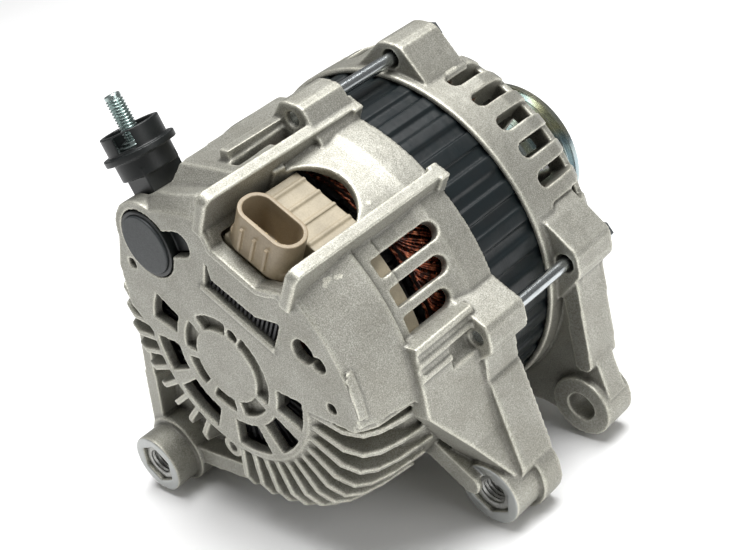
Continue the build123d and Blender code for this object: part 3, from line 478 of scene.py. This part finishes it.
def in_metres(rings):
    """Plain (y, radius) rings turned from millimetres to metres."""
    return [(y * MM, radius * MM) for y, radius in rings]


def add_piece(name, mesh, material, replaced=None):
    """New piece of the housing, in place of a CAD node where one is named."""
    mesh.materials.append(MATERIALS[material])
    piece = bpy.data.objects.new(name, mesh)
    bpy.context.scene.collection.objects.link(piece)
    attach(piece, "housing")
    if replaced:
        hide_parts(replaced)
    return piece


def keep_edges_sharp(piece):
    """Smooth shading stops at every edge steeper than 35 degrees."""
    split = piece.modifiers.new("edges", "EDGE_SPLIT")
    split.split_angle = math.radians(35)


def build_stud():
    """Output stud: clamped foot, M6 thread and a dog point with a hexagonal socket."""
    root = 2.45 * MM
    crest = 3.0 * MM
    pitch = 1.0 * MM
    start = 30.4 * MM
    end = 44.3 * MM
    flange = in_metres([(26.4, 6.1), (26.7, 6.4), (29.1, 6.4), (29.4, 6.1)])
    collar = in_metres([(29.4, 4.7), (30.2, 4.6), (30.4, 4.4), (30.4, 2.6)])
    point = in_metres([(44.4, 2.7), (45.4, 2.7), (45.8, 2.3)])
    socket = [(45.8 * MM, hexagon(3.0 * MM)), (44.4 * MM, hexagon(2.9 * MM)), (44.3 * MM, 0.3 * MM)]
    thread = screw_thread(root, crest, pitch, start, end)
    threaded = [(y, thread) for y in steps(start, end, 140)]
    mesh = tube_of_rings("stud_thread", flange + collar + threaded + point + socket, 48)
    mount = MOUNTS["output_stud"]
    axis = Vector(mount["axis"])
    thread_middle = 37.2 * MM
    seat = Vector(mount["pos_m"]) - thread_middle * axis
    outward = Matrix.Rotation(math.atan2(axis.z, axis.x) - math.pi / 2, 4, (0, -1, 0))
    lift = Matrix.Rotation(math.pi / 2, 4, "X")
    mesh.transform(Matrix.Translation(seat) @ outward @ lift)
    stud = add_piece("stud_thread", mesh, "stud_zinc", replaced="output_stud")
    keep_edges_sharp(stud)


def build_insert(name, middle, replaced=None):
    """Hexagonal insert with an M10 thread, sunk in a rear lug."""
    flats = 13.9 * MM
    bevel = 0.4 * MM
    mouth = 5.6 * MM
    root = 5.0 * MM
    crest = 4.3 * MM
    pitch = 1.5 * MM
    start = 0.2 * MM
    end = INSERT_LENGTH - start
    body = hexagon(flats, 8.0 * MM)
    chamfered = hexagon(flats, 6.9 * MM)
    thread = screw_thread(root, crest, pitch, start, end)
    rings = [(y, thread) for y in steps(start, end, 60)]
    rings += [(INSERT_LENGTH, mouth), (INSERT_LENGTH, chamfered), (INSERT_LENGTH - bevel, body)]
    rings += [(bevel, body), (0, chamfered), (0, mouth)]
    mesh = tube_of_rings(name, rings, 96, closed=True)
    turn = Matrix.Rotation(math.radians(-20), 4, "Y")
    to_rear_end = Vector((0, -INSERT_LENGTH / 2, 0))
    mesh.transform(Matrix.Translation(middle + to_rear_end) @ turn)
    insert = add_piece(name, mesh, "nut_steel", replaced)
    keep_edges_sharp(insert)


def wire(path, radius, outward, closed=True):
    """Points and faces of a round wire along a path, with a direction across it at each of its points."""
    sides = 6
    points = []
    faces = []
    last = len(path) - 1
    for index, here in enumerate(path):
        before = path[index - 1] if closed or index else here
        after = path[(index + 1) % len(path)] if closed or index < last else here
        ahead = (after - before).normalized()
        side = ahead.cross(outward[index]).normalized()
        upright = side.cross(ahead)
        for step in range(sides):
            turn = 2 * math.pi * step / sides
            points.append(here + radius * (math.cos(turn) * side + math.sin(turn) * upright))
    for row in range(len(path) if closed else last):
        there = (row + 1) % len(path) * sides
        for step in range(sides):
            across = (step + 1) % sides
            faces.append((row * sides + step, row * sides + across, there + across, there + step))
    if not closed:
        faces.append(tuple(range(sides - 1, -1, -1)))
        faces.append(tuple(range(last * sides, (last + 1) * sides)))
    return points, faces


def build_springs():
    """Brush springs between the brushes and the holder's top."""
    turns = 7
    per_turn = 18
    thickness = 0.35 * MM
    for name in ("rear", "front"):
        low, high = (Vector(corner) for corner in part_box("brush_spring_" + name))
        middle = (low + high) / 2
        coil = (high.x - low.x) / 2 - thickness
        rise = high.z - low.z - 2 * thickness
        path = []
        for step in range(turns * per_turn + 1):
            turn = 2 * math.pi * step / per_turn
            height = low.z + thickness + rise * step / (turns * per_turn)
            path.append(Vector((middle.x + coil * math.cos(turn), middle.y + coil * math.sin(turn), height)))
        points, faces = wire(path, thickness, [Vector((0, 0, 1))] * len(path), closed=False)
        mesh = smooth_mesh("spring_" + name, points, faces)
        spring = add_piece("spring_" + name, mesh, "spring_steel", "brush_spring_" + name)
        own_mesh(spring)


def woven_path(tip, root, layer, phase, reach):
    """One wire of an end turn: it swings between the core and the tip as it goes round the shaft."""
    waves = 9
    per_wave = 20
    depth = 1.1 * MM
    path = []
    for step in range(waves * per_wave):
        turn = 2 * math.pi * step / (waves * per_wave)
        swing = waves * turn + phase
        y = (root + tip) / 2 + (tip - root) / 2 * reach * math.sin(swing)
        r = layer + depth * math.cos(swing)
        path.append(Vector((r * math.cos(turn), y, r * math.sin(turn))))
    return path


def build_winding():
    """Woven end turns of the stator at both ends, over a varnished core."""
    winding_low, winding_high = (corner[1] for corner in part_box("stator_winding"))
    core_low, core_high = (corner[1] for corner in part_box("stator_core"))
    # Tip and root of the wires at the rear end, then at the front end.
    ends = ((winding_low + 0.6 * MM, core_low - 1.0 * MM), (winding_high, core_high + 0.9 * MM))
    layers = (56.2 * MM, 53.4 * MM)
    wires = 30
    thickness = 0.4 * MM
    points = []
    faces = []
    for tip, root in ends:
        for layer in layers:
            for index in range(wires):
                phase = 2 * math.pi * index / wires + random.uniform(-0.1, 0.1)
                reach = random.uniform(0.82, 1.0)
                path = woven_path(tip, root, layer, phase, reach)
                outward = [Vector((point.x, 0, point.z)) for point in path]
                new_points, new_faces = wire(path, thickness, outward)
                faces += [tuple(len(points) + corner for corner in face) for face in new_faces]
                points += new_points
    mesh = smooth_mesh("stator_end_turns", points, faces)
    add_piece("stator_end_turns", mesh, "copper", "stator_winding")
    for number, (tip, root) in enumerate(ends):
        build_winding_core(number, min(tip, root), max(tip, root))


def build_winding_core(number, low, high):
    """Varnished band that the wires of one end are wound over."""
    inner = 51.6 * MM
    outer = 55.2 * MM
    edge = low + 0.8 * MM
    shoulder = low + 1.2 * MM
    rings = [(shoulder, inner), (edge, inner + 0.8 * MM), (edge, outer - 0.6 * MM)]
    rings += [(shoulder, outer), (high, outer), (high, inner)]
    core = tube_of_rings("winding_core", rings, 120, closed=True)
    add_piece(f"winding_core_{number}", core, "varnish")


# ---- stage ----
def build_floor():
    """A wide flat floor under the lugs."""
    low = cad_box[0][2]
    reach = 3.0
    mesh = bpy.data.meshes.new("studio_floor")
    corners = [(-reach, -reach, low), (reach, -reach, low), (reach, reach, low), (-reach, reach, low)]
    mesh.from_pydata(corners, [], [(0, 1, 2, 3)])
    mesh.materials.append(floor_paint())
    floor = bpy.data.objects.new("studio_floor", mesh)
    bpy.context.scene.collection.objects.link(floor)


def add_light(name, position, aim, size, power):
    """Square soft box."""
    lamp = bpy.data.lights.new(name, "AREA")
    lamp.energy = power
    lamp.size = size
    lamp_object = bpy.data.objects.new(name, lamp)
    lamp_object.location = position
    lamp_object.rotation_euler = (Vector(aim) - Vector(position)).to_track_quat("-Z", "Y").to_euler()
    bpy.context.scene.collection.objects.link(lamp_object)


def build_lights():
    """Soft studio light: a big box overhead, a fill on either side and a dim white surround."""
    middle = (0, -0.06, 0)
    add_light("overhead", (0.12, 0.05, 1.15), middle, size=0.9, power=27)
    add_light("side_fill", (1.1, -0.1, 0.55), middle, size=0.6, power=3)
    add_light("left_fill", (-0.7, -1.0, 0.5), middle, size=0.5, power=1)
    world = bpy.data.worlds.new("white_surround")
    world.use_nodes = True
    background = world.node_tree.nodes["Background"]
    background.inputs["Color"].default_value = (1, 1, 1, 1)
    background.inputs["Strength"].default_value = 0.2
    bpy.context.scene.world = world


def build_camera():
    """Behind the alternator, to its right and above, rolled as in the photo."""
    camera = bpy.data.objects.new("camera", bpy.data.cameras.new("camera"))
    camera.data.lens = 67.75
    position = Vector((0.32467, -0.34589, 0.21982))
    aim = Vector((0.02533, -0.09811, 0.01342))
    roll = math.radians(-15.571)
    look = (aim - position).to_track_quat("-Z", "Y").to_matrix()
    camera.matrix_world = Matrix.Translation(position) @ (look @ Matrix.Rotation(roll, 3, "Z")).to_4x4()
    bpy.context.scene.collection.objects.link(camera)
    bpy.context.scene.camera = camera


finish_nodes()
soften_nodes()
build_stud()
build_insert("left_lug_nut", INSERT_PLACES[0], replaced="rear_lug_nuts")
build_insert("right_lug_nut", INSERT_PLACES[1])
build_winding()
build_springs()
build_floor()
build_lights()
build_camera()
bpy.context.scene.view_settings.view_transform = "Standard"
